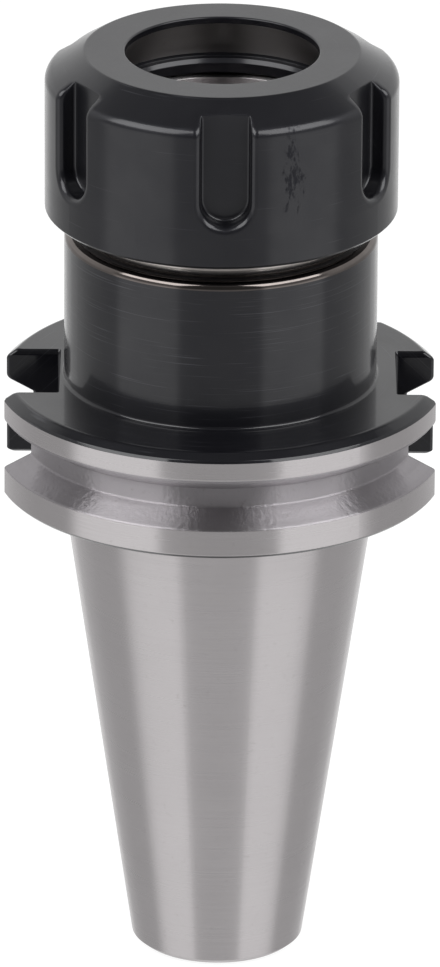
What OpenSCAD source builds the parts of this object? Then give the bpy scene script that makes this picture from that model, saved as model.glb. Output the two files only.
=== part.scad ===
// Collet chuck holder with a steep-taper shank, standing on the small end of
// its taper. Two turned pieces: the one-piece holder, which is shank, flange
// and nose, and the slotted clamping nut that screws on the nose.
// Millimetres. The origin is the centre of the small end, +Z runs up the axis
// towards the nut, and the two drive slots lie on -X and +X.

/* [Taper shank] */
// Diameter of the cone at the gauge line
gauge_d = 44.45; // [42:0.05:45]
// Length of the cone, from the small end to the gauge line
taper_l = 68.4; // [62:0.1:75]
// Fall of the cone's diameter over the length taper_run
taper_fall = 7; // [6.5:0.1:7.5]
// Length over which the cone's diameter falls by taper_fall
taper_run = 24; // [22.5:0.5:27]
// Chamfer round the small end
end_chamfer = 0.7; // [0.3:0.1:1.2]
// Depth of the grinding relief between cone and flange
relief_depth = 0.65; // [0.3:0.05:1.2]

/* [Flange] */
// Diameter of the flange
flange_d = 63.55; // [61:0.05:68]
// Thickness of the flange
flange_t = 15.9; // [15:0.1:19]
// Distance from the gauge line up to the flange's underside
flange_gap = 3.2; // [2.4:0.1:4.5]
// Height of the gripper groove's middle above the gauge line
groove_mid = 11.1; // [10:0.1:12]
// Diameter of the gripper groove's floor
groove_floor_d = 56.25; // [55:0.05:58.5]
// Width of the gripper groove's flat floor
groove_floor_w = 2.86; // [2:0.02:3.6]
// Angle between the gripper groove's walls
groove_angle = 60; // [50:1:66]
// Radius round the flange's upper edge
rim_edge_r = 1.4; // [0.5:0.1:1.8]
// Chamfer on the flange's lower edge
rim_chamfer_low = 0.4; // [0.2:0.1:0.8]

/* [Drive slots] */
// Width of both drive slots
drive_w = 16.1; // [12:0.1:18]
// Distance from the axis to the floor of the deeper slot, on -X
drive_floor_deep = 22.8; // [22.5:0.1:24]
// Distance from the axis to the floor of the shallower slot, on +X
drive_floor_shallow = 25; // [24:0.1:27]
// Radius in the corners of the slot floors
drive_corner_r = 1; // [0.5:0.1:2]
// Depth of the square-cornered orientation notch below the flange's rim
notch_depth = 4; // [2.5:0.1:5]

/* [Nose] */
// Diameter of the black nose above the flange
nose_d = 44.5; // [42.5:0.1:45]
// Height of the nose, from the flange to its shoulder
nose_h = 22.2; // [15:0.1:60]
// Radius round the shoulder's outer edge
nose_edge_r = 1.2; // [0.3:0.1:1.6]
// Fillet where the nose meets the flange
nose_root_r = 0.3; // [0.2:0.1:0.5]

/* [Nut thread] */
// Nominal diameter of the thread that the nut screws on
thread_d = 40; // [39:0.5:41]
// Pitch of the nut's thread
thread_pitch = 1.5; // [1:0.25:2]
// Length from the shoulder to the face of the nose
thread_l = 16.6; // [14:0.1:24]
// Width of the thread's run-out groove above the shoulder
neck_w = 3.2; // [2.8:0.1:5]
// Depth of the run-out groove below the pitch line
neck_depth = 0.7; // [0.4:0.1:1.2]
// Chamfer at the front of the thread
thread_chamfer = 0.9; // [0.4:0.1:1.2]
// Running clearance on the radius between nut and nose
thread_clear = 0.05; // [0.02:0.01:0.1]

/* [Collet socket] */
// Diameter of the collet cone at the face of the nose
socket_d = 33; // [31:0.1:34]
// Angle between the collet cone's wall and the axis
socket_angle = 8; // [7:0.5:9]
// Length of the collet cone
socket_l = 36; // [30:0.5:40]
// Diameter of the bore under the collet cone, for a tool's shank
shank_bore_d = 21; // [18:0.1:21.5]
// Chamfer at the mouth of the collet cone
socket_chamfer = 0.35; // [0.1:0.05:0.6]

/* [Pull stud hole] */
// Nominal diameter of the pull stud's thread
stud_d = 16; // [12:0.5:17]
// Pitch of the pull stud's thread
stud_pitch = 2; // [1.5:0.25:2]
// Depth of the tapped hole from the small end
stud_l = 43; // [38:0.5:50]
// Diameter of the pilot bore at the small end
pilot_d = 17; // [17:0.1:18.5]
// Depth of the pilot bore
pilot_l = 8; // [5:0.1:10]
// Point angle of the drill that leaves the floor of the shank bore
drill_angle = 118; // [100:1:140]

/* [Clamping nut] */
// Diameter of the nut
nut_d = 50; // [48.5:0.1:55]
// Gap between the nose's shoulder and the nut
nut_gap = 3; // [1.5:0.1:4]
// How far the nut is screwed round from where a slot faces -Y, seen from
// above and counter-clockwise
nut_screwed = 1.4; // [-30:0.1:30]
// Outer diameter of the flat ring on the nut's face
nut_face_d = 39; // [36:0.1:41]
// Height of the cone between the nut's face and its side
nut_cone_h = 3.4; // [2.5:0.1:4.5]
// Radius between the nut's side and its cone
nut_edge_r = 1.2; // [0.3:0.1:1.6]
// Chamfer round the nut's lower edge
nut_chamfer = 0.45; // [0.2:0.05:1]
// Diameter of the opening in the nut's face
mouth_d = 27.4; // [24:0.1:28.4]
// Height of the straight land inside the opening
mouth_land = 0.9; // [0.5:0.1:1.5]
// Angle between the nut's inner cone and the axis
nut_cone_angle = 30; // [28:1:35]
// Diameter of the groove under the inner cone
lip_groove_d = 33.8; // [33:0.1:34.6]
// Height of the groove under the inner cone
lip_groove_h = 0.5; // [0.3:0.1:1]
// Diameter of the extraction lip
lip_d = 31.6; // [30.6:0.1:32]
// Offset of the extraction lip from the axis, towards -Y
lip_offset = 0.3; // [0.1:0.05:0.4]
// Height of the extraction lip's sloping side
lip_slope_h = 1.1; // [0.5:0.1:1.5]
// Narrowest flat between the lip's sloping side and the groove above it
lip_ledge = 0.2; // [0.1:0.05:0.3]
// Height of the extraction lip's straight edge
lip_h = 1; // [0.6:0.1:2]
// Gap between the face of the nose and the lip
lip_gap = 0.7; // [0.4:0.1:2]
// Height of the undercut between lip and thread
undercut_h = 1.6; // [1:0.1:3]
// Depth of the undercut beyond the nut's bore
undercut_depth = 0.85; // [0.5:0.05:1.2]
// Chamfer at the nut's threaded end
nut_mouth_chamfer = 0.7; // [0.3:0.1:1]

/* [Spanner slots] */
// Number of spanner slots
spanner_n = 6; // [3:1:8]
// Width of a spanner slot, and of its round end
spanner_w = 6.8; // [5:0.1:8]
// Distance from the axis to the flat floor of a spanner slot
spanner_floor = 22; // [21.6:0.1:23.5]
// Length of a spanner slot down from the nut's face
spanner_l = 17.4; // [12:0.1:20]

/* [Hidden] */
$fn = 96;

// A cut runs past the face that it opens by this much
over = 1;
// A 60 degree thread's pitch line lies this many pitches below its crest
pitch_line = 0.32476;
// A tapping drill leaves the wall this many pitches inside the nominal radius
tap_line = 0.54127;
// Steps along each rounded edge
edge_steps = 6;

gauge_z = taper_l;
gauge_r = gauge_d / 2;
taper_slope = taper_fall / taper_run / 2;
small_r = gauge_r - taper_l * taper_slope;
relief_r = gauge_r - relief_depth;

flange_z = gauge_z + flange_gap;
flange_top = flange_z + flange_t;
flange_r = flange_d / 2;
groove_z = gauge_z + groove_mid;
groove_floor_r = groove_floor_d / 2;
groove_flank_h = (flange_r - groove_floor_r) * tan(groove_angle / 2);
notch_corner = (flange_r - notch_depth) * cos(45);

nose_r = nose_d / 2;
shoulder_z = flange_top + nose_h;
face_z = shoulder_z + thread_l;
pitch_r = thread_d / 2 - pitch_line * thread_pitch;
neck_r = pitch_r - neck_depth;

socket_r = socket_d / 2;
socket_z = face_z - socket_l;
shank_r = shank_bore_d / 2;
tap_r = stud_d / 2 - tap_line * stud_pitch;
drill_h = (shank_r - tap_r) / tan(drill_angle / 2);

nut_z = shoulder_z + nut_gap;
nut_r = nut_d / 2;
nut_bore_r = pitch_r + thread_clear;
undercut_r = nut_bore_r + undercut_depth;
mouth_r = mouth_d / 2;
lip_groove_r = lip_groove_d / 2;
lip_r = lip_d / 2;
lip_z = face_z + lip_gap;
lip_slope_z = lip_z + lip_h;
lip_groove_z = lip_slope_z + lip_slope_h;
inner_cone_z = lip_groove_z + lip_groove_h;
mouth_z = inner_cone_z + (lip_groove_r - mouth_r) / tan(nut_cone_angle);
nut_top = mouth_z + mouth_land;
nut_cone_z = nut_top - nut_cone_h;

// Points on an arc about [r, z], from angle a0 to a1
function arc(r, z, radius, a0, a1) =
    [for (i = [0:edge_steps])
        let (a = a0 + (a1 - a0) * i / edge_steps)
        [r + radius * cos(a), z + radius * sin(a)]];

// A ring with its concave side towards the corner [r, z], which blends a
// cylinder of radius r into the flat face below it
module root_fillet(r, z, radius) {
    rotate_extrude()
        translate([r - radius, z])
            difference() {
                square([2 * radius, radius]);
                translate([2 * radius, radius]) circle(radius);
            }
}

// The cone with its chamfered small end, and the relief up to the flange
module taper_shank() {
    rotate_extrude()
        polygon([
            [0, 0],
            [small_r - end_chamfer, 0],
            [small_r + end_chamfer * taper_slope, end_chamfer],
            [gauge_r, gauge_z],
            [relief_r, gauge_z + relief_depth],
            [relief_r, flange_z],
            [0, flange_z]
        ]);
}

// One drive slot's outline, with its floor on +X at floor_x
module drive_slot(floor_x) {
    reach = flange_r + over - floor_x;
    half = drive_w / 2 - drive_corner_r;
    translate([floor_x, 0, flange_z - over])
        linear_extrude(flange_t + over + nose_root_r / 2) {
            translate([drive_corner_r, -drive_w / 2])
                square([reach - drive_corner_r, drive_w]);
            translate([0, -half]) square([reach, 2 * half]);
            for (side = [-1, 1])
                translate([drive_corner_r, side * half]) circle(drive_corner_r);
        }
}

// The square corner cut from the upper rim, midway between the slots' lines
module orientation_notch() {
    bottom = groove_z + groove_floor_w / 2;
    translate([notch_corner, notch_corner, bottom])
        cube([flange_r, flange_r, flange_top - bottom + over]);
}

// The flange with its gripper groove, drive slots and orientation notch
module flange() {
    groove_half = groove_floor_w / 2;
    difference() {
        rotate_extrude()
            polygon(concat(
                [
                    [0, flange_z],
                    [flange_r - rim_chamfer_low, flange_z],
                    [flange_r, flange_z + rim_chamfer_low],
                    [flange_r, groove_z - groove_half - groove_flank_h],
                    [groove_floor_r, groove_z - groove_half],
                    [groove_floor_r, groove_z + groove_half],
                    [flange_r, groove_z + groove_half + groove_flank_h]
                ],
                arc(flange_r - rim_edge_r, flange_top - rim_edge_r, rim_edge_r, 0, 90),
                [[0, flange_top]]
            ));
        drive_slot(drive_floor_shallow);
        mirror([1, 0, 0]) drive_slot(drive_floor_deep);
        orientation_notch();
    }
}

// The nose: black cylinder, shoulder, run-out groove and thread, which is a
// plain cylinder at its pitch line
module nose() {
    root_fillet(nose_r, flange_top, nose_root_r);
    rotate_extrude()
        polygon(concat(
            [[0, flange_z], [nose_r, flange_z]],
            arc(nose_r - nose_edge_r, shoulder_z - nose_edge_r, nose_edge_r, 0, 90),
            [
                [neck_r, shoulder_z],
                [neck_r, shoulder_z + neck_w - neck_depth],
                [pitch_r, shoulder_z + neck_w],
                [pitch_r, face_z - thread_chamfer],
                [pitch_r - thread_chamfer, face_z],
                [0, face_z]
            ]
        ));
}

// The hole right through: collet cone, shank bore, tapped hole and pilot bore
module through_hole() {
    translate([0, 0, -over]) cylinder(h = pilot_l + over, r = pilot_d / 2);
    cylinder(h = stud_l + over, r = tap_r);
    translate([0, 0, stud_l]) cylinder(h = drill_h, r1 = tap_r, r2 = shank_r);
    translate([0, 0, stud_l + drill_h])
        cylinder(h = socket_z - stud_l - drill_h + over, r = shank_r);
    rotate_extrude()
        polygon([
            [0, socket_z],
            [socket_r - socket_l * tan(socket_angle), socket_z],
            [socket_r - socket_chamfer * tan(socket_angle), face_z - socket_chamfer],
            [socket_r + socket_chamfer, face_z],
            [socket_r + socket_chamfer, face_z + over],
            [0, face_z + over]
        ]);
}

module holder_body() {
    color([0.55, 0.55, 0.57])
        difference() {
            union() {
                taper_shank();
                flange();
                nose();
            }
            through_hole();
        }
}

// One spanner slot on +X: a flat-floored cut with a round lower end
module spanner_slot() {
    end_z = nut_top - spanner_l + spanner_w / 2;
    translate([spanner_floor, 0, end_z])
        rotate([90, 0, 90])
            linear_extrude(nut_r - spanner_floor + over) {
                circle(d = spanner_w);
                translate([-spanner_w / 2, 0])
                    square([spanner_w, spanner_l - spanner_w / 2 + over]);
            }
}

// The nut's outside, with its rounded edge placed where side and cone meet
module nut_blank() {
    slope = atan(nut_cone_h / (nut_r - nut_face_d / 2));
    edge_drop = nut_edge_r * tan((90 - slope) / 2);
    rotate_extrude()
        polygon(concat(
            [
                [0, nut_z],
                [nut_r - nut_chamfer, nut_z],
                [nut_r, nut_z + nut_chamfer]
            ],
            arc(nut_r - nut_edge_r, nut_cone_z - edge_drop, nut_edge_r, 0, 90 - slope),
            [[nut_face_d / 2, nut_top], [0, nut_top]]
        ));
}

// The nut's inside: threaded bore at its pitch line, undercut, and above the
// lip the groove, the 30 degree cone and the opening
module nut_inside() {
    rotate_extrude()
        polygon([
            [0, nut_z - over],
            [nut_bore_r + nut_mouth_chamfer, nut_z - over],
            [nut_bore_r + nut_mouth_chamfer, nut_z],
            [nut_bore_r, nut_z + nut_mouth_chamfer],
            [nut_bore_r, lip_z - undercut_h],
            [undercut_r, lip_z - undercut_h],
            [undercut_r, lip_z],
            [0, lip_z]
        ]);
    rotate_extrude()
        polygon([
            [0, lip_groove_z],
            [lip_groove_r, lip_groove_z],
            [lip_groove_r, inner_cone_z],
            [mouth_r, mouth_z],
            [mouth_r, nut_top + over],
            [0, nut_top + over]
        ]);
}

// The hole through the extraction lip, off the axis towards -Y
module lip_hole() {
    slope_r = lip_groove_r - lip_offset - lip_ledge;
    translate([0, -lip_offset, 0])
        rotate_extrude()
            polygon([
                [0, lip_z - undercut_h],
                [lip_r, lip_z - undercut_h],
                [lip_r, lip_slope_z],
                [slope_r, lip_groove_z],
                [slope_r, lip_groove_z + lip_groove_h / 2],
                [0, lip_groove_z + lip_groove_h / 2]
            ]);
}

module clamping_nut() {
    color([0.16, 0.16, 0.17])
        difference() {
            nut_blank();
            nut_inside();
            lip_hole();
            for (i = [0:spanner_n - 1])
                rotate(i * 360 / spanner_n - 90 + nut_screwed) spanner_slot();
        }
}

holder_body();
clamping_nut();
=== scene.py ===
"""A steep-taper collet chuck holder, standing on the small end of its shank.

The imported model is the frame. Each of its two turned pieces is drawn again as
one closed surface, with rounded edges and real threads, and replaces its node.
Sizes are in millimetres until a mesh is made.
"""
import math

import bmesh
import bpy
import numpy as np
from mathutils import Matrix, Vector


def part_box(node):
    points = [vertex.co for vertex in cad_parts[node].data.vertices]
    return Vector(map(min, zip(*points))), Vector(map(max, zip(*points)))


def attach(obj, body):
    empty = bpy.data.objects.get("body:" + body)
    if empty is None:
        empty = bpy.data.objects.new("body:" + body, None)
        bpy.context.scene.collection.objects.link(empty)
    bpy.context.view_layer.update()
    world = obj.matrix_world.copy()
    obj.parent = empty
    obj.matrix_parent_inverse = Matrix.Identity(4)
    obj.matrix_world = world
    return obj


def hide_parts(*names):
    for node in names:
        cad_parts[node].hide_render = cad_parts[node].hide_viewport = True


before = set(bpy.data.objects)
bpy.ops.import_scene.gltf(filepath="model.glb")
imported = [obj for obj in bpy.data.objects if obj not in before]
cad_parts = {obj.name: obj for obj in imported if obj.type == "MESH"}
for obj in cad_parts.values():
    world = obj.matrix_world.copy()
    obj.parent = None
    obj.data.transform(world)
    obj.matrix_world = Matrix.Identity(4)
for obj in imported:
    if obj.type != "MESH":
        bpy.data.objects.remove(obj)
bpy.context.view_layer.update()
MM = 0.001


# Camera
# A long lens a metre and a half away looks 22 degrees down on the holder, and
# the picture is turned a third of a degree, so that the holder leans.
VIEW_ELEVATION = math.radians(22.3)
VIEW_DISTANCE = 1507 * MM
VIEW_ROLL = 0.0062
VIEW_AIM = Vector((0.06, 0, 70.13)) * MM
FOCAL_PIXELS = 10536
PICTURE_HEIGHT = 967
SENSOR = 36

view_line = Vector((0, math.cos(VIEW_ELEVATION), -math.sin(VIEW_ELEVATION)))
roll = Matrix.Rotation(VIEW_ROLL, 4, "Z").to_quaternion()
camera = bpy.data.objects.new("camera", bpy.data.cameras.new("camera"))
bpy.context.scene.collection.objects.link(camera)
camera.data.sensor_width = SENSOR
camera.data.lens = FOCAL_PIXELS * SENSOR / PICTURE_HEIGHT
camera.data.clip_start = 100 * MM
camera.data.clip_end = 20000 * MM
camera.location = VIEW_AIM - view_line * VIEW_DISTANCE
camera.rotation_mode = "QUATERNION"
camera.rotation_quaternion = view_line.to_track_quat("-Z", "Y") @ roll
bpy.context.scene.camera = camera


# Holder body
# One turned piece of case-hardened steel. It is blackened all over, then the
# gripper groove is turned bright, and taper, flange rim and socket are ground.
body_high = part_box("holder_body")[1] / MM
FACE_Z = body_high.z
FLANGE_R = body_high.y
GAUGE_R = 22.225
GAUGE_Z = 68.4
TAPER_SLOPE = 7 / 48
SMALL_R = GAUGE_R - GAUGE_Z * TAPER_SLOPE
END_CHAMFER = 0.7
RELIEF = 0.65
FLANGE_Z = GAUGE_Z + 3.2
FLANGE_TOP = FLANGE_Z + 15.75
GROOVE_Z = GAUGE_Z + 11.1
GROOVE_R = 28.125
GROOVE_HALF = 1.43
GROOVE_RISE = (FLANGE_R - GROOVE_R) * math.tan(math.radians(30))
RIM_BEVEL = 1.35
RIM_BEVEL_FALL = 0.93
RIM_EDGE_IN = 0.2
RIM_EDGE_FALL = 1.3
RIM_CHAMFER_LOW = 0.5
NOSE_R = 22.25
NOSE_EDGE = 1.2
NOSE_ROOT = 0.45
# The nose's shoulder and the nut's lower edge lie this much lower than in the solids, as in the photo
EDGE_DROP = 0.25
SHOULDER_Z = FACE_Z - 16.6 - EDGE_DROP
NOSE_THREAD_R = 19.513
THREAD_PITCH = 1.5
THREAD_DEPTH = 0.43
THREAD_CREST = 0.5
THREAD_ROOT = 1 / 6
THREAD_CHAMFER = 0.9
NECK_DEPTH = 0.3
NECK_ROUND = 0.8
NECK_TOP = SHOULDER_Z + 3.3
SOCKET_R = 16.5
SOCKET_CHAMFER = 0.35
SOCKET_Z = FACE_Z - 36
SOCKET_SLOPE = math.tan(math.radians(8))
SHANK_BORE_R = 10.5
STUD_HOLE_R = 6.917
STUD_HOLE_Z = 43
STUD_THREAD_R = 8
STUD_MOUTH_R = STUD_THREAD_R + 0.1
STUD_THREAD_Z = 36
STUD_PITCH = 2
DRILL_RISE = (SHANK_BORE_R - STUD_HOLE_R) / math.tan(math.radians(59))
PILOT_R = 8.5
PILOT_Z = 8
PILOT_CHAMFER = 0.4
# How near to an edge one more row lies, which keeps the shading of the stretch beside it even
NEAR = 0.05


def span(start, end, steps, near=NEAR):
    """Values from start towards end, without the end. They are evenly spaced, but for one value that lies
    this near to each end and keeps the shading of the stretch between off its ends."""
    length = end - start
    near = np.minimum(near / np.maximum(np.abs(length), 1e-6), 1 / steps)
    step = np.arange(steps)
    share = np.where(step == 0, 0, near + (1 - 2 * near) * (step - 1) / (steps - 2))
    return start + length * share


def rounded(corners, steps=4):
    """A profile of (radius, height) through corners of (radius, height, rounding), of which the first and
    the last stay sharp. A rounding is an arc that touches both sides: its centre lies on the corner's
    bisector, and its points turn evenly from one touching point to the other. One more point just outside
    each touching point keeps the sides' shading flat."""
    place = np.array(corners)[:, :2]
    rounding = np.array(corners)[1:-1, 2:]
    corner = place[1:-1]
    back, ahead = place[:-2] - corner, place[2:] - corner
    back /= np.linalg.norm(back, axis=1, keepdims=True)
    ahead /= np.linalg.norm(ahead, axis=1, keepdims=True)
    half = np.arccos(np.sum(back * ahead, 1, keepdims=True)) / 2
    touch = rounding / np.tan(half)
    bisector = (back + ahead) / np.linalg.norm(back + ahead, axis=1, keepdims=True)
    centre = corner + bisector * rounding / np.sin(half)
    first = (corner + back * touch - centre)[:, None]
    last = (corner + ahead * touch - centre)[:, None]
    turn = (np.pi - 2 * half)[:, None]
    share = np.linspace(0, 1, steps)[None, :, None]
    swing = (np.sin(turn * (1 - share)) * first + np.sin(turn * share) * last) / np.sin(turn)
    outside = 0.04
    before = (corner + back * (touch + outside))[:, None]
    after = (corner + ahead * (touch + outside))[:, None]
    arcs = np.concatenate([before, centre[:, None] + swing, after], 1)
    return np.concatenate([place[:1], arcs.reshape(-1, 2), place[-1:]])


def turned(radius, height, turns, centre_y=0):
    """A surface of revolution: a row for each radius and height, and a column for each turn about the axis,
    at (radius cos turn, radius sin turn, height), with the axis at centre_y. The radius may differ from
    column to column."""
    radius = radius + 0 * turns
    return np.stack([radius * np.cos(turns), centre_y + radius * np.sin(turns), height + 0 * radius], -1)


def ridge(height, turns, pitch, crest, root):
    """How high a right-hand thread stands, from 0 at its root to 1 at its crest. Its phase is the height in
    pitches less the share of a turn, and it falls evenly between a crest and a root of these widths."""
    phase = np.mod(height / pitch - turns / (2 * np.pi), 1)
    return np.clip((np.abs(2 * phase - 1) - root) / (1 - crest - root), 0, 1)


def closed_skin(name, strips, finishes):
    """A closed mesh from strips of (points, finish): points is a grid of rows and columns, and finish is the
    number of the material of the faces after each, one for all or one for each. The strips follow one
    another, the last row joins the first, each row joins up, and points that fall together are merged."""
    points = np.concatenate([grid for grid, finish in strips])
    finish = np.concatenate([np.broadcast_to(finish, grid.shape[:2]) for grid, finish in strips])
    rows, columns = points.shape[:2]
    corner = np.arange(rows * columns).reshape(rows, columns)
    beside = np.roll(corner, -1, 1)
    faces = np.stack([corner, beside, np.roll(beside, -1, 0), np.roll(corner, -1, 0)], -1)
    mesh = bpy.data.meshes.new(name)
    mesh.from_pydata(points.reshape(-1, 3) * MM, [], faces.reshape(-1, 4))
    for material in finishes:
        mesh.materials.append(material)
    mesh.polygons.foreach_set("material_index", finish.ravel().astype(np.int32))
    merge = MM / 1000
    work = bmesh.new()
    work.from_mesh(mesh)
    bmesh.ops.remove_doubles(work, verts=work.verts, dist=merge)
    bmesh.ops.dissolve_degenerate(work, edges=work.edges, dist=merge)
    bmesh.ops.recalc_face_normals(work, faces=work.faces)
    work.to_mesh(mesh)
    work.free()
    mesh.shade_smooth()
    mesh.set_sharp_from_angle(angle=math.radians(40))
    piece = bpy.data.objects.new(name, mesh)
    bpy.context.scene.collection.objects.link(piece)
    return piece


# Drive slots and notch of the holder's flange
# A milled slot on -X and a shallower one on +X take the spindle's keys. A
# square corner milled from the upper rim shows a tool changer which is which.
SLOT_HALF = 8.05
SLOT_CORNER = 0.45
SLOT_BREAK = 0.45
SLOT_DEEP = 22.8
SLOT_SHALLOW = 25
NOTCH_DEPTH = 4
NOTCH_CORNER = (FLANGE_R - NOTCH_DEPTH) * math.cos(math.radians(45))
NOTCH_Z = GROOVE_Z + GROOVE_HALF
TOP_BREAK = 0.35
# Columns along half a slot: floor, corner, wall and broken edge
SLOT_COLUMNS = (4, 4, 3, 4)
# Columns along the rim: up to the notch, its two walls, and on to the other slot
RIM_COLUMNS = (9, 4, 4, 38)
# Where a round row has the ends of these lengths, as turns in degrees
SLOT_TURNS = (0, 18, 20.7, 24, 25)
RIM_TURNS = (25, 38.2, 45, 51.8, 155)
# How near one more column lies to each end of a length along the rim, in radians
NEAR_TURN = 0.002
# A length short enough to tell a row on an edge from the next one
HAIR = 0.02
# The holder's finishes, numbered in the order of its materials
GROUND, BLACKENED, BRIGHT_TURNED, RUBBED, BLACK_TURNED, BARE = range(6)


def slot_side(radius, half, floor_x):
    """Half a drive slot's outline on +X, from the middle of its floor outwards, and the turn where it ends.
    It is the floor, a quarter circle, the wall, and an arc that touches the wall and the rim."""
    same = np.zeros((1, SLOT_COLUMNS[0])) + 0 * radius
    quarter = np.linspace(0, np.pi / 2, SLOT_COLUMNS[1], endpoint=False)
    corner_x, corner_y = floor_x + SLOT_CORNER + 0 * radius, half - SLOT_CORNER
    edge_y = half + SLOT_BREAK
    edge_x = np.sqrt((radius - SLOT_BREAK) ** 2 - edge_y ** 2)
    end = np.arctan2(edge_y, edge_x)
    broken = (end + np.pi / 2) * np.linspace(0, 1, SLOT_COLUMNS[3], endpoint=False) - np.pi / 2
    wall = span(corner_x, edge_x, SLOT_COLUMNS[2])
    floor = (floor_x + same, span(0 * radius, corner_y, SLOT_COLUMNS[0]))
    corner = (corner_x - SLOT_CORNER * np.cos(quarter), corner_y + SLOT_CORNER * np.sin(quarter))
    edge = (edge_x + SLOT_BREAK * np.cos(broken), edge_y + SLOT_BREAK * np.sin(broken))
    lengths = [np.stack(length, -1) for length in (floor, corner, (wall, half + 0 * wall), edge)]
    return np.concatenate(lengths, 1), end


def rim_side(radius, near_end, far_end, notched):
    """The rim's outline from the slot on +X to the one on -X. In the notch its distance from the axis is
    NOTCH_CORNER over the smaller of the turn's sine and cosine, so the notch's walls run along X and Y."""
    middle = np.pi / 4 + 0 * radius
    notch = np.minimum(np.arcsin(np.minimum(NOTCH_CORNER / radius, 1)), middle - NEAR_TURN)
    marks = [near_end, notch, middle, 2 * middle - notch, np.pi - far_end]
    lengths = [span(a, b, steps, NEAR_TURN) for a, b, steps in zip(marks, marks[1:], RIM_COLUMNS)]
    turn = np.concatenate(lengths + marks[-1:], 1)
    smaller = np.minimum(np.sin(turn), np.cos(turn))
    reach = np.where(notched, NOTCH_CORNER / np.maximum(smaller, NOTCH_CORNER / radius), radius)
    return np.stack([reach * np.cos(turn), reach * np.sin(turn)], -1)


def flange_rows(profile):
    """Rows of the flange for a profile of (radius, height). Each is an outline on +Y, notched where it is
    above NOTCH_Z, and the same without a notch mirrored to -Y. The slots widen by TOP_BREAK at both ends."""
    radius, height = profile[:, :1], profile[:, 1:]
    depth = np.minimum(FLANGE_TOP - height, height - FLANGE_Z)
    half = SLOT_HALF + np.clip(TOP_BREAK - depth, 0, None)
    near, near_end = slot_side(radius, half, SLOT_SHALLOW)
    far, far_end = slot_side(radius, half, SLOT_DEEP)
    far = far[:, ::-1] * (-1, 1)
    rims = [rim_side(radius, near_end, far_end, notched) for notched in (height > NOTCH_Z, False)]
    behind, front = (np.concatenate([near, rim, far], 1) for rim in rims)
    outline = np.concatenate([behind, front[:, -2:0:-1] * (1, -1)], 1)
    return np.concatenate([outline, height[:, None] + 0 * outline[:, :, :1]], -1)


def flange_finish(profile):
    """The finish of each face in those rows: ground on the rim between its edges, turned bright in the
    gripper groove, and blackened in the slots, in the notch and elsewhere."""
    slot = sum(SLOT_COLUMNS)
    plain = np.repeat([False, True, False], [slot, sum(RIM_COLUMNS), slot])
    notched = plain.copy()
    notched[slot + RIM_COLUMNS[0]:-slot - RIM_COLUMNS[-1]] = False
    height = profile[:, 1:]
    behind = np.where(height > NOTCH_Z, notched, plain)
    front = np.broadcast_to(plain, behind.shape)
    turned_side = np.concatenate([behind, front], 1)
    rim = (height < FLANGE_TOP - RIM_EDGE_FALL) & (height > FLANGE_Z + RIM_CHAMFER_LOW)
    groove = profile[:, :1] < FLANGE_R - HAIR
    return np.where(turned_side & rim, np.where(groove, BRIGHT_TURNED, GROUND), BLACKENED)


slot_turns, rim_turns = (
    np.concatenate([np.linspace(a, b, n, endpoint=False) for a, b, n in zip(marks, marks[1:], columns)])
    for marks, columns in ((SLOT_TURNS, SLOT_COLUMNS), (RIM_TURNS, RIM_COLUMNS))
)
half_turns = np.concatenate([slot_turns, rim_turns, RIM_TURNS[-1:], 180 - slot_turns[::-1]])
body_turns = np.radians(np.concatenate([half_turns, 360 - half_turns[-2:0:-1]]))


# Holder body, put together
# Its surface starts at the pilot bore, climbs through the hole and the socket,
# and comes down the thread, nose, flange and taper to the small end again.
STUD_CREST = 0.25
STUD_ROOT = 0.125
# Rows along the threads, about eight to a pitch
STUD_ROWS = 113
NOSE_ROWS = 76
# An end corner that only gives the bend beside it a direction lies this far past it, and is dropped
BEYOND = 1


def linear(code):
    """An sRGB hex colour as linear red, green, blue and alpha, by the inverse of the sRGB curve."""
    srgb = np.array([int(code[k:k + 2], 16) for k in (0, 2, 4)]) / 255
    value = np.where(srgb > 0.04045, ((srgb + 0.055) / 1.055) ** 2.4, srgb / 12.92)
    return (*value.tolist(), 1)


def add(tree, kind, inputs=(), **settings):
    """A shader node with these settings, whose inputs are linked to an output or set to a plain value."""
    node = tree.nodes.new("ShaderNode" + kind)
    for name, value in settings.items():
        setattr(node, name, value)
    for socket, value in dict(inputs).items():
        if isinstance(value, bpy.types.NodeSocket):
            tree.links.new(value, node.inputs[socket])
        else:
            node.inputs[socket].default_value = value
    return node


def new_material(name):
    """An empty node material, its shader tree and its output node."""
    material = bpy.data.materials.new(name)
    material.use_nodes = True
    material.node_tree.nodes.clear()
    return material, material.node_tree, add(material.node_tree, "OutputMaterial")


def lathe_place(tree):
    """The place on the piece, as its point and as a vector whose last part is the way along a turned
    profile: height plus distance from the axis. A pattern that changes fast along it and slowly across it
    runs round the axis like a tool's or a wheel's marks, on walls and faces alike."""
    point = add(tree, "TexCoord").outputs["Object"]
    apart = add(tree, "SeparateXYZ", {0: point})
    across = add(tree, "CombineXYZ", {"X": apart.outputs["X"], "Y": apart.outputs["Y"]})
    radius = add(tree, "VectorMath", {0: across.outputs[0]}, operation="LENGTH")
    way = add(tree, "Math", {0: apart.outputs["Z"], 1: radius.outputs["Value"]})
    lathe = add(tree, "CombineXYZ", {"X": apart.outputs["X"], "Y": apart.outputs["Y"], "Z": way.outputs[0]})
    return point, lathe.outputs[0]


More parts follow.
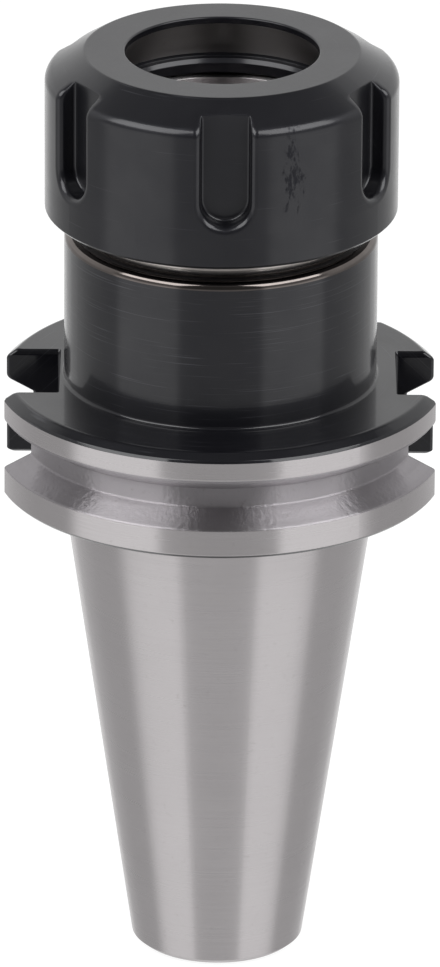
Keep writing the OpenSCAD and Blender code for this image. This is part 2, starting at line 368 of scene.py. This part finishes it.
def bright_steel(name, colours, roughness, drawn_out, stain, waviness):
    """Bare hardened steel with fine marks round its axis: what it mirrors is drawn out along the axis and
    stays sharp round it. The marks are about 0.02 mm apart, drawn ten times as coarse, and 25 mm long.
    Handling leaves it mottled in faint patches of 11 mm, with specks of dried oil under a millimetre, as
    dark as stain says, and a tool's chatter leaves waves of 1.5 mm."""
    material, tree, output = new_material(name)
    point, lathe = lathe_place(tree)
    tangent = add(tree, "VectorMath", {0: (0, 0, 1), 1: point}, operation="CROSS_PRODUCT")
    mark_place = add(tree, "VectorMath", {
        0: lathe, 1: np.array([0.04, 0.04, 5]) / MM,
    }, operation="MULTIPLY")
    marks = add(tree, "TexNoise", {
        "Vector": mark_place.outputs[0], "Scale": 1, "Detail": 3, "Roughness": 0.6,
    })
    patches = add(tree, "TexNoise", {"Vector": point, "Scale": 0.09 / MM, "Detail": 4, "Roughness": 0.6})
    bare = add(tree, "Mix", {
        0: patches.outputs["Fac"], 6: linear(colours[0]), 7: linear(colours[1]),
    }, data_type="RGBA")
    specks = add(tree, "TexNoise", {"Vector": point, "Scale": 1.1 / MM, "Detail": 4, "Roughness": 0.7})
    dried = add(tree, "MapRange", {
        "Value": specks.outputs["Fac"], "From Min": 0.6, "From Max": 0.8, "To Min": 0, "To Max": stain,
    })
    colour = add(tree, "Mix", {
        0: dried.outputs[0], 6: bare.outputs[2], 7: linear("5A4C42"),
    }, data_type="RGBA")
    rough = add(tree, "MapRange", {
        "Value": marks.outputs["Fac"], "From Min": 0.3, "From Max": 0.7,
        "To Min": roughness - 0.035, "To Max": roughness + 0.035,
    })
    waves = add(tree, "TexNoise", {"Vector": point, "Scale": 1.3 / MM, "Detail": 2})
    wavy = add(tree, "Bump", {"Height": waves.outputs["Fac"], "Strength": waviness, "Distance": 0.1 * MM})
    bump = add(tree, "Bump", {
        "Height": marks.outputs["Fac"], "Strength": 0.03, "Distance": 0.02 * MM, "Normal": wavy.outputs[0],
    })
    shader = add(tree, "BsdfPrincipled", {
        "Base Color": colour.outputs[2], "Metallic": 1, "Roughness": rough.outputs[0],
        "Anisotropic": drawn_out, "Anisotropic Rotation": 0.25, "Tangent": tangent.outputs[0],
        "Normal": bump.outputs[0],
    })
    tree.links.new(shader.outputs[0], output.inputs["Surface"])
    return material


def blackened_steel(name, roughness, index, mark_strength, scratch_level, film, film_roughness, wiped=None):
    """Steel blackened in a hot salt bath and oiled: a thin dark oxide, a little blue, that mirrors softly
    over turned marks 0.3 mm apart, under a film of oil that mirrors sharply. Lighter scratches of 0.15 mm
    run the same way, and a higher scratch_level leaves fewer. The oil lies in blotches of 8 mm, up to the
    weight of film. Where it is wiped, round a centre and as far as a reach along X, Y and Z, a thumb has
    dragged it off in upright streaks a millimetre wide."""
    material, tree, output = new_material(name)
    point, lathe = lathe_place(tree)
    mark_place = add(tree, "VectorMath", {
        0: lathe, 1: np.array([0.03, 0.03, 3.5]) / MM,
    }, operation="MULTIPLY")
    marks = add(tree, "TexNoise", {
        "Vector": mark_place.outputs[0], "Scale": 1, "Detail": 3, "Roughness": 0.6,
    })
    scratch_place = add(tree, "VectorMath", {
        0: lathe, 1: np.array([0.09, 0.09, 6.5]) / MM,
    }, operation="MULTIPLY")
    scratches = add(tree, "TexNoise", {"Vector": scratch_place.outputs[0], "Scale": 1, "Detail": 1})
    scratched = add(tree, "MapRange", {
        "Value": scratches.outputs["Fac"], "From Min": scratch_level, "From Max": scratch_level + 0.12,
    })
    colour = add(tree, "Mix", {
        0: scratched.outputs[0], 6: linear("0F0F13"), 7: linear("37373B"),
    }, data_type="RGBA")
    bump = add(tree, "Bump", {
        "Height": marks.outputs["Fac"], "Strength": mark_strength, "Distance": 0.02 * MM,
    })
    oil = add(tree, "TexNoise", {"Vector": point, "Scale": 0.13 / MM, "Detail": 5, "Roughness": 0.65})
    rough = add(tree, "MapRange", {
        "Value": oil.outputs["Fac"], "From Min": 0.3, "From Max": 0.7,
        "To Min": roughness - 0.05, "To Max": roughness + 0.05,
    })
    wet = add(tree, "MapRange", {
        "Value": oil.outputs["Fac"], "From Min": 0.35, "From Max": 0.65,
        "To Min": film - 0.2, "To Max": film,
    })
    if wiped:
        centre, reach = (np.array(lengths) for lengths in wiped)
        patch = add(tree, "Mapping", {
            "Vector": point, "Location": -centre / reach, "Scale": 1 / (reach * MM),
        })
        inside = add(tree, "TexGradient", {"Vector": patch.outputs[0]}, gradient_type="SPHERICAL")
        streak_place = add(tree, "VectorMath", {
            0: point, 1: np.array([0.9, 0.9, 0.3]) / MM,
        }, operation="MULTIPLY")
        streaks = add(tree, "TexNoise", {
            "Vector": streak_place.outputs[0], "Scale": 1, "Detail": 6, "Roughness": 0.75,
        })
        dragged = add(tree, "Math", {
            0: inside.outputs["Fac"], 1: streaks.outputs["Fac"],
        }, operation="MULTIPLY")
        dry = add(tree, "MapRange", {
            "Value": dragged.outputs[0], "From Min": 0.42, "From Max": 0.47, "To Min": 1, "To Max": 0.1,
        })
        wet = add(tree, "Math", {0: wet.outputs[0], 1: dry.outputs[0]}, operation="MULTIPLY")
    shader = add(tree, "BsdfPrincipled", {
        "Base Color": colour.outputs[2], "Roughness": rough.outputs[0], "IOR": index,
        "Normal": bump.outputs[0], "Specular Tint": linear("F0F1FF"), "Coat Weight": wet.outputs[0],
        "Coat Roughness": film_roughness, "Coat IOR": 1.5, "Coat Normal": bump.outputs[0],
    })
    tree.links.new(shader.outputs[0], output.inputs["Surface"])
    return material


def rubbed_steel():
    """The same oxide where handling has rubbed it thin on an edge: the steel shows through, dark, warm and
    shiny, and more in some places than in others, which are 4 mm apart."""
    material, tree, output = new_material("rubbed_blackened_edge")
    point = add(tree, "TexCoord").outputs["Object"]
    wear = add(tree, "TexNoise", {"Vector": point, "Scale": 0.25 / MM, "Detail": 5, "Roughness": 0.65})
    colour = add(tree, "Mix", {
        0: wear.outputs["Fac"], 6: linear("655F5D"), 7: linear("857E7A"),
    }, data_type="RGBA")
    rough = add(tree, "MapRange", {
        "Value": wear.outputs["Fac"], "From Min": 0.3, "From Max": 0.7, "To Min": 0.13, "To Max": 0.08,
    })
    shader = add(tree, "BsdfPrincipled", {
        "Base Color": colour.outputs[2], "Metallic": 1, "Roughness": rough.outputs[0],
    })
    tree.links.new(shader.outputs[0], output.inputs["Surface"])
    return material


def lathed(profile):
    """The rows of a profile of (radius, height), turned about the axis with the holder's columns."""
    return turned(profile[:, :1], profile[:, 1:], body_turns)


stud_z = np.linspace(PILOT_Z, STUD_THREAD_Z, STUD_ROWS)[:, None]
stud_run_out = np.clip((STUD_THREAD_Z - stud_z) / STUD_PITCH, 0, 1)
stud_cut = (1 - ridge(stud_z, body_turns, STUD_PITCH, STUD_CREST, STUD_ROOT)) * stud_run_out
stud_r = STUD_HOLE_R + (STUD_THREAD_R - STUD_HOLE_R) * stud_cut
stud_r = np.maximum(stud_r, STUD_MOUTH_R - (stud_z - PILOT_Z))

nose_z = np.linspace(FACE_Z, NECK_TOP - NECK_DEPTH, NOSE_ROWS)[:, None]
stand = ridge(nose_z, body_turns, THREAD_PITCH, THREAD_CREST, THREAD_ROOT)
thread_ends = (NECK_TOP - NECK_DEPTH, NECK_TOP, FACE_Z - THREAD_CHAMFER, FACE_Z)
thread_fall = np.interp(nose_z, thread_ends, (NECK_DEPTH, 0, 0, THREAD_CHAMFER))
nose_r = NOSE_THREAD_R - np.maximum(THREAD_DEPTH * (1 - stand), thread_fall)

pilot = rounded([
    (PILOT_R + PILOT_CHAMFER, 0, 0),
    (PILOT_R, PILOT_CHAMFER, 0.1),
    (PILOT_R, PILOT_Z, 0.15),
    (STUD_MOUTH_R, PILOT_Z, 0),
])[:-1]
shank_bore = rounded([
    (STUD_HOLE_R, STUD_THREAD_Z + 0.5, 0),
    (STUD_HOLE_R, STUD_HOLE_Z, 0.2),
    (SHANK_BORE_R, STUD_HOLE_Z + DRILL_RISE, 0.3),
    (SHANK_BORE_R, SOCKET_Z, 0),
])[:-1]
socket = rounded([
    (SHANK_BORE_R, SOCKET_Z - BEYOND, 0),
    (SHANK_BORE_R, SOCKET_Z, 0.2),
    (SOCKET_R - (FACE_Z - SOCKET_Z) * SOCKET_SLOPE, SOCKET_Z, 0.2),
    (SOCKET_R - SOCKET_CHAMFER * SOCKET_SLOPE, FACE_Z - SOCKET_CHAMFER, 0.08),
    (SOCKET_R + SOCKET_CHAMFER, FACE_Z, 0.08),
    (NOSE_THREAD_R - THREAD_CHAMFER, FACE_Z, 0),
])[1:-1]
nose = rounded([
    (NOSE_THREAD_R - NECK_DEPTH, NECK_TOP - NECK_DEPTH - 0.2, 0),
    (NOSE_THREAD_R - NECK_DEPTH, SHOULDER_Z, NECK_ROUND),
    (NOSE_R, SHOULDER_Z, NOSE_EDGE),
    (NOSE_R, FLANGE_TOP, NOSE_ROOT),
    (NOSE_R + BEYOND, FLANGE_TOP, 0),
], steps=6)[:-1]
flange = rounded([
    (NOSE_R + BEYOND, FLANGE_TOP, 0),
    (FLANGE_R - RIM_BEVEL, FLANGE_TOP, 0.9),
    (FLANGE_R - RIM_EDGE_IN, FLANGE_TOP - RIM_BEVEL_FALL, 0.3),
    (FLANGE_R, FLANGE_TOP - RIM_EDGE_FALL, 0.05),
    (FLANGE_R, GROOVE_Z + GROOVE_HALF + GROOVE_RISE, 1),
    (GROOVE_R, GROOVE_Z + GROOVE_HALF, 0.4),
    (GROOVE_R, GROOVE_Z - GROOVE_HALF, 0.4),
    (FLANGE_R, GROOVE_Z - GROOVE_HALF - GROOVE_RISE, 0.38),
    (FLANGE_R, FLANGE_Z + RIM_CHAMFER_LOW, 0.3),
    (FLANGE_R - RIM_CHAMFER_LOW, FLANGE_Z, 0.3),
    (GAUGE_R, FLANGE_Z, 0),
], steps=6)[1:-1]
relief = rounded([
    (GAUGE_R + BEYOND, FLANGE_Z, 0),
    (GAUGE_R - RELIEF, FLANGE_Z, 0.2),
    (GAUGE_R - RELIEF, GAUGE_Z + RELIEF, 0),
])[1:-1]
taper = rounded([
    (GAUGE_R - RELIEF, FLANGE_Z, 0),
    (GAUGE_R - RELIEF, GAUGE_Z + RELIEF, 0.1),
    (GAUGE_R, GAUGE_Z, 0.1),
    (SMALL_R + END_CHAMFER * TAPER_SLOPE, END_CHAMFER, 0.1),
    (SMALL_R - END_CHAMFER, 0, 0.1),
    (PILOT_R + PILOT_CHAMFER, 0, 0),
])[1:-1]
neck = nose[:, :1] < NOSE_THREAD_R - NECK_DEPTH + NECK_ROUND - HAIR
shoulder_edge = (nose[:, :1] > NOSE_R - NOSE_EDGE - HAIR) & (nose[:, 1:] > SHOULDER_Z - NOSE_EDGE + HAIR)
root = nose[:, 1:] < FLANGE_TOP + NOSE_ROOT - HAIR
nose_finish = np.select([neck, shoulder_edge, root], [BARE, RUBBED, BLACKENED], BLACK_TURNED)

holder = closed_skin("ground_and_blackened_holder", [
    (lathed(pilot), BLACKENED),
    (turned(stud_r, stud_z, body_turns), BLACKENED),
    (lathed(shank_bore), BLACKENED),
    (lathed(socket), GROUND),
    (turned(nose_r, nose_z, body_turns), GROUND),
    (lathed(nose), nose_finish),
    (flange_rows(flange), flange_finish(flange)),
    (lathed(relief), BLACKENED),
    (lathed(taper), GROUND),
], (
    bright_steel("ground_hardened_steel", ("C6C2C3", "CFCBCC"),
                 roughness=0.245, drawn_out=0.95, stain=0.15, waviness=0.02),
    blackened_steel("blackened_milled_steel", roughness=0.33, index=1.25,
                    mark_strength=0.1, scratch_level=0.66, film=1, film_roughness=0.08),
    bright_steel("bright_turned_steel", ("A6A2A6", "B6B2B5"),
                 roughness=0.36, drawn_out=1, stain=0.3, waviness=0.35),
    rubbed_steel(),
    blackened_steel("blackened_turned_steel", roughness=0.4, index=1.35,
                    mark_strength=0.3, scratch_level=0.64, film=0.97, film_roughness=0.13),
    bright_steel("bare_turned_neck", ("BEB8B4", "CAC4C0"),
                 roughness=0.21, drawn_out=0, stain=0.1, waviness=0.1),
))
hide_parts("holder_body")
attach(holder, "holder")


# Clamping nut
# Turned and threaded from bar, with six slots milled for a spanner's teeth,
# tumbled until every edge is round, and blackened like the nose. Collets have
# worn the cone inside its mouth bright.
nut_low, nut_high = (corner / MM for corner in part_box("clamping_nut"))
NUT_Z = nut_low.z - EDGE_DROP
NUT_TOP = nut_high.z
NUT_R = nut_high.y
NUT_CHAMFER = 0.5
NUT_EDGE = 1.9
NUT_FACE_R = 19.5
NUT_CONE_RISE = 3.4
MOUTH_R = 13.7
NUT_THREAD_R = NOSE_THREAD_R + 0.05
NUT_MOUTH_CHAMFER = 0.7
UNDERCUT_R = NUT_THREAD_R + 0.85
LIP_Z = FACE_Z + 0.7
UNDERCUT_Z = LIP_Z - 1.6
LIP_R = 15.8
LIP_SHIFT = -0.3
LIP_SLOPE_Z = LIP_Z + 1.45
LIP_GROOVE_Z = LIP_Z + 2.1
LIP_GROOVE_R = 16.9
LIP_LEDGE = 0.44
INNER_CONE_Z = LIP_GROOVE_Z + 0.5
MOUTH_Z = INNER_CONE_Z + (LIP_GROOVE_R - MOUTH_R) / math.tan(math.radians(30))
SPANNER_HALF = 3.4
SPANNER_FLOOR = 22
SPANNER_LENGTH = 17.4
SPANNER_END_Z = NUT_TOP - SPANNER_LENGTH + SPANNER_HALF
SPANNER_FILLET = 0.4
SPANNER_EDGE = 1.1
SPANNER_REACH = SPANNER_HALF + SPANNER_EDGE
# How far the slot in front stands to the right, in degrees, and the turns of all six
NUT_TURN = 1.4
SECTORS = np.radians(np.arange(6) * 60 - 90 + NUT_TURN)
# Columns across half a slot: floor, fillet, wall and rounded edge, and on to the middle between two slots
SPANNER_COLUMNS = (5, 3, 3, 6)
WALL_COLUMNS = 10
NUT_ROWS = 73
# The last of a slot's depth, over which the rows on the face's cone lie closer
SLOT_FADE = 0.75
# Where a thumb has wiped the oil off, beside the front slot, and how far from there
THUMB_PLACE = (10, -22.9, 126.5)
THUMB_REACH = (6.5, 9, 30)
# The nut's finishes, numbered in the order of its materials
TUMBLED, WORN = range(2)


def spanner_columns():
    """The columns across half a spanner slot, as their distance from its middle line and their share of its
    depth: the floor, the fillet and the wall, which climbs from share 0 to 1, and the rounded edge."""
    floor, fillet, wall, edge = SPANNER_COLUMNS
    fillet_turn = np.radians(np.linspace(0, 90, fillet, endpoint=False))
    edge_turn = np.radians(np.linspace(0, 90, edge, endpoint=False))
    climb = span(0, 1, wall)
    distance = [
        span(0, SPANNER_HALF - SPANNER_FILLET, floor),
        SPANNER_HALF - SPANNER_FILLET * (1 - np.sin(fillet_turn)),
        SPANNER_HALF + 0 * climb,
        SPANNER_HALF + SPANNER_EDGE * (1 - np.cos(edge_turn)),
    ]
    share = np.concatenate([np.zeros(floor + fillet), climb, np.ones(edge)])
    return np.concatenate(distance), share


def quarter_fall(share):
    """How far a quarter circle has fallen, 0 at its top and 1 at its foot, at this share of its width."""
    return 1 - np.sqrt(1 - np.clip(share, 0, 1) ** 2)


def nut_rows(profile, slots=True, centre_y=0):
    """Rows of the nut for a profile of (radius, height), in twelve mirrored halves of 30 degrees. A point
    in a slot lies at a distance from the slot's middle line, or below the centre of its round end from
    that centre. The columns keep that distance, so they run round the end, and where it is less than the
    drop below the centre they fall together on the middle line, as they do in rows without slots."""
    radius, height = profile[:, :1], profile[:, 1:]
    below = np.clip(SPANNER_END_Z - height, 0, SPANNER_REACH) if slots else SPANNER_REACH + 0 * height
    distance, climb = spanner_columns()
    away = np.maximum(distance, below)
    side = np.sqrt(away ** 2 - below ** 2)
    surface = np.sqrt(radius ** 2 - side ** 2)
    depth = np.maximum(surface - SPANNER_FLOOR, 0)
    fillet = np.minimum(SPANNER_FILLET, depth / 2)
    edge = np.minimum(SPANNER_EDGE, depth / 2)
    low = surface - depth + fillet * quarter_fall((away - SPANNER_HALF) / SPANNER_FILLET + 1)
    high = surface - edge * quarter_fall((SPANNER_REACH - away) / SPANNER_EDGE)
    share = np.where(away == SPANNER_HALF, climb, away > SPANNER_HALF)
    out = low + share * (high - low)
    edge_turn = np.arcsin(np.sqrt(SPANNER_REACH ** 2 - below ** 2) / radius)
    middle = np.pi / 6 + 0 * radius
    round_turns = np.concatenate([span(edge_turn, middle, WALL_COLUMNS, NEAR_TURN), middle], 1)
    turn = np.concatenate([np.arctan2(side, out), round_turns], 1)
    reach = np.concatenate([np.hypot(side, out), radius + 0 * round_turns], 1)
    turn = np.concatenate([turn, np.pi / 3 - turn[:, -2:0:-1]], 1)
    reach = np.concatenate([reach, reach[:, -2:0:-1]], 1)
    turn = (SECTORS[:, None] + turn[:, None]).reshape(len(profile), -1)
    return turned(np.tile(reach, len(SECTORS)), height, turn, centre_y)


cone_slope = NUT_CONE_RISE / (NUT_R - NUT_FACE_R)
fade_r = np.array([SPANNER_FLOOR + SLOT_FADE, SPANNER_FLOOR])
fade_z = NUT_TOP - (fade_r - NUT_FACE_R) * cone_slope
# Rows below the centre of the slots' round ends: every 15 degrees of the rounded edge, then every 7.5 degrees
# of the half circle
below_centre = np.concatenate([
    SPANNER_HALF + SPANNER_EDGE * np.sin(np.radians(np.arange(90, 0, -15))),
    SPANNER_HALF * np.sin(np.radians(np.arange(90, -1, -7.5))),
])
# On a straight wall or face, one profile ends and the next starts a little further on
skirt = rounded([
    (NUT_THREAD_R + NUT_MOUTH_CHAMFER, NUT_Z, 0),
    (NUT_R - NUT_CHAMFER, NUT_Z, 0.15),
    (NUT_R, NUT_Z + NUT_CHAMFER, 0.15),
    (NUT_R, NUT_Z + 3, 0),
])
round_end = np.stack([NUT_R + 0 * below_centre, SPANNER_END_Z - below_centre], 1)
shoulder = rounded([
    (NUT_R, SPANNER_END_Z + 1, 0),
    (NUT_R, NUT_TOP - NUT_CONE_RISE, NUT_EDGE),
    (fade_r[0], fade_z[0], 0),
], steps=7)
fade = np.linspace((fade_r[0], fade_z[0]), (fade_r[1], fade_z[1]), 7)[1:]
face = rounded([
    (fade_r[1] - NEAR, fade_z[1] + NEAR * cone_slope, 0),
    (NUT_FACE_R, NUT_TOP, 0.5),
    (NUT_FACE_R - 1, NUT_TOP, 0),
])
mouth = rounded([
    (NUT_FACE_R - 1.5, NUT_TOP, 0),
    (MOUTH_R, NUT_TOP, 0.25),
    (MOUTH_R, MOUTH_Z, 0.1),
    (LIP_GROOVE_R, INNER_CONE_Z, 0.1),
    (LIP_GROOVE_R, LIP_GROOVE_Z, 0.08),
    (LIP_GROOVE_R - BEYOND, LIP_GROOVE_Z, 0),
], steps=5)[:-1]
cone = (mouth[:, 1:] < MOUTH_Z - NEAR) & (mouth[:, 1:] > INNER_CONE_Z)
lip = rounded([
    (LIP_GROOVE_R, LIP_GROOVE_Z, 0),
    (LIP_GROOVE_R + LIP_SHIFT - LIP_LEDGE, LIP_GROOVE_Z, 0.08),
    (LIP_R, LIP_SLOPE_Z, 0.3),
    (LIP_R, LIP_Z, 0.15),
    (LIP_R + BEYOND, LIP_Z, 0),
], steps=5)[2:-1]
undercut = rounded([
    (LIP_R + 2, LIP_Z, 0),
    (UNDERCUT_R, LIP_Z, 0.15),
    (UNDERCUT_R, UNDERCUT_Z, 0.15),
    (NUT_THREAD_R + 0.2, UNDERCUT_Z, 0),
])
round_row = nut_rows(mouth[:1], slots=False)[0]
nut_turns = np.arctan2(round_row[:, 1], round_row[:, 0])
bore_z = np.linspace(UNDERCUT_Z, NUT_Z, NUT_ROWS)[:, None]
bore_cut = 1 - ridge(bore_z, nut_turns, THREAD_PITCH, THREAD_CREST, THREAD_ROOT)
flare = np.interp(bore_z, (NUT_Z, NUT_Z + NUT_MOUTH_CHAMFER), (NUT_MOUTH_CHAMFER, 0))
bore_r = NUT_THREAD_R + np.maximum(THREAD_DEPTH * bore_cut, flare)

nut = closed_skin("slotted_blackened_nut", [
    (nut_rows(skirt, slots=False), TUMBLED),
    (nut_rows(round_end), TUMBLED),
    (nut_rows(shoulder), TUMBLED),
    (nut_rows(fade), TUMBLED),
    (nut_rows(face), TUMBLED),
    (nut_rows(mouth, slots=False), np.where(cone, WORN, TUMBLED)),
    (nut_rows(lip, slots=False, centre_y=LIP_SHIFT), TUMBLED),
    (nut_rows(undercut, slots=False), TUMBLED),
    (turned(bore_r, bore_z, nut_turns), TUMBLED),
], (
    blackened_steel("blackened_tumbled_steel", roughness=0.42, index=1.35,
                    mark_strength=0.15, scratch_level=0.72, film=0.88, film_roughness=0.16,
                    wiped=(THUMB_PLACE, THUMB_REACH)),
    bright_steel("collet_worn_cone", ("969291", "A4A09F"),
                 roughness=0.36, drawn_out=0.9, stain=0.2, waviness=0.05),
))
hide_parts("clamping_nut")
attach(nut, "nut")


# Floor
# A wide sheet of white paper, which lies just under the holder's small end. The
# camera sees it nearly white, with the holder's shadow on it, and it throws
# plain light back up at the underside. Steel mirrors the studio's table instead.
FLOOR_HALF = 3000
FLOOR_DROP = 0.2

floor_mesh = bpy.data.meshes.new("white_paper_floor")
floor_corners = np.array([(-1, -1), (1, -1), (1, 1), (-1, 1)]) * FLOOR_HALF
floor_points = np.column_stack([floor_corners, np.full(4, -FLOOR_DROP)]) * MM
floor_mesh.from_pydata(floor_points, [], [(0, 1, 2, 3)])
floor = bpy.data.objects.new("white_paper_floor", floor_mesh)
bpy.context.scene.collection.objects.link(floor)
paper, tree, output = new_material("matt_white_paper")
seen = add(tree, "LightPath")
lit = add(tree, "BsdfDiffuse", {"Color": linear("F4F4F4")})
seen_lit = add(tree, "BsdfDiffuse", {"Color": linear("8A8A8A")})
glow = add(tree, "Emission", {"Color": linear("FFFFFF"), "Strength": 0.86})
white = add(tree, "AddShader", {0: seen_lit.outputs[0], 1: glow.outputs[0]})
shown = add(tree, "MixShader", {0: seen.outputs["Is Camera Ray"], 1: lit.outputs[0], 2: white.outputs[0]})
tree.links.new(shown.outputs[0], output.inputs["Surface"])
floor_mesh.materials.append(paper)
floor.visible_glossy = False


# Studio
# A white tent with a softbox on either side of the camera. What steel mirrors is
# set by direction: a ring of brightness each for the near table, the far table
# and the tent's walls, darker where the camera looks in, under a grey roof.
LAMP_TURN = 55
LAMP_HEIGHT = 43
LAMP_DISTANCE = 1200
LAMP_WIDTH = 1000
LAMP_LENGTH = 750
LAMP_POWER = 8
# Degrees from the camera's side, to either side, and the brightness there
NEAR_RING = (
    (0, 0.6), (29, 0.6), (33, 0.85), (78, 0.85), (84, 0.52), (125, 0.5), (150, 0.6), (164, 0.9), (180, 1),
)
FAR_RING = (
    (0, 0.42), (29, 0.42), (33, 0.95), (78, 0.95), (84, 0.4), (110, 0.4), (130, 0.5), (148, 0.6),
    (160, 0.9), (180, 1),
)
TENT_RING = ((0, 0.08), (28, 0.1), (33, 0.3), (79, 0.3), (85, 0.5), (125, 0.74), (180, 0.74))
# Where one ring turns into the next, from below, as the sine of the height above the horizon
FAR_EDGE = (-0.52, -0.42)
TENT_EDGE = (-0.1, 0.1)
ROOF_EDGE = (0.63, 0.73)

world = bpy.data.worlds.new("white_studio")
bpy.context.scene.world = world
world.use_nodes = True
tree = world.node_tree
tree.nodes.clear()
direction = add(tree, "SeparateXYZ", {0: add(tree, "TexCoord").outputs["Object"]})
front = add(tree, "Math", {0: direction.outputs["Y"], 1: -1.0}, operation="MULTIPLY")
turn = add(tree, "Math", {0: direction.outputs["X"], 1: front.outputs[0]}, operation="ARCTAN2")
aside = add(tree, "Math", {0: turn.outputs[0]}, operation="ABSOLUTE")
share = add(tree, "Math", {0: aside.outputs[0], 1: math.pi}, operation="DIVIDE")
rings = []
for stops in (NEAR_RING, FAR_RING, TENT_RING):
    ring = add(tree, "ValToRGB", {"Fac": share.outputs[0]})
    ring.color_ramp.elements.remove(ring.color_ramp.elements[1])
    ring.color_ramp.elements[0].position = 1
    ring.color_ramp.elements[0].color = (*[stops[-1][1]] * 3, 1)
    for degrees, grey in stops[:-1]:
        stop = ring.color_ramp.elements.new(degrees / 180)
        stop.color = (grey, grey, grey, 1)
    rings.append(ring.outputs["Color"])
mirrored = rings[0]
for edge, upper in ((FAR_EDGE, rings[1]), (TENT_EDGE, rings[2]), (ROOF_EDGE, linear("6C6C6C"))):
    above = add(tree, "MapRange", {"Value": direction.outputs["Z"], "From Min": edge[0], "From Max": edge[1]})
    mirrored = add(tree, "Mix", {0: above.outputs[0], 6: mirrored, 7: upper}, data_type="RGBA").outputs[2]
path = add(tree, "LightPath")
sky = add(tree, "Mix", {
    0: path.outputs["Is Camera Ray"], 6: mirrored, 7: linear("FFFFFF"),
}, data_type="RGBA")
light = add(tree, "Background", {"Color": sky.outputs[2], "Strength": 1})
output = add(tree, "OutputWorld", {"Surface": light.outputs[0]})

for side, name in ((-1, "left"), (1, "right")):
    lamp = bpy.data.lights.new(f"softbox_{name}", "AREA")
    lamp.shape = "RECTANGLE"
    lamp.size = LAMP_WIDTH * MM
    lamp.size_y = LAMP_LENGTH * MM
    lamp.energy = LAMP_POWER
    softbox = bpy.data.objects.new(f"softbox_{name}", lamp)
    bpy.context.scene.collection.objects.link(softbox)
    turn = math.radians(LAMP_TURN) * side
    height = math.radians(LAMP_HEIGHT)
    level = Vector((math.sin(turn), -math.cos(turn), 0))
    towards = level * math.cos(height) + Vector((0, 0, math.sin(height)))
    softbox.location = VIEW_AIM + towards * LAMP_DISTANCE * MM
    softbox.rotation_mode = "QUATERNION"
    softbox.rotation_quaternion = towards.to_track_quat("Z", "Y")

bpy.context.scene.view_settings.view_transform = "Standard"
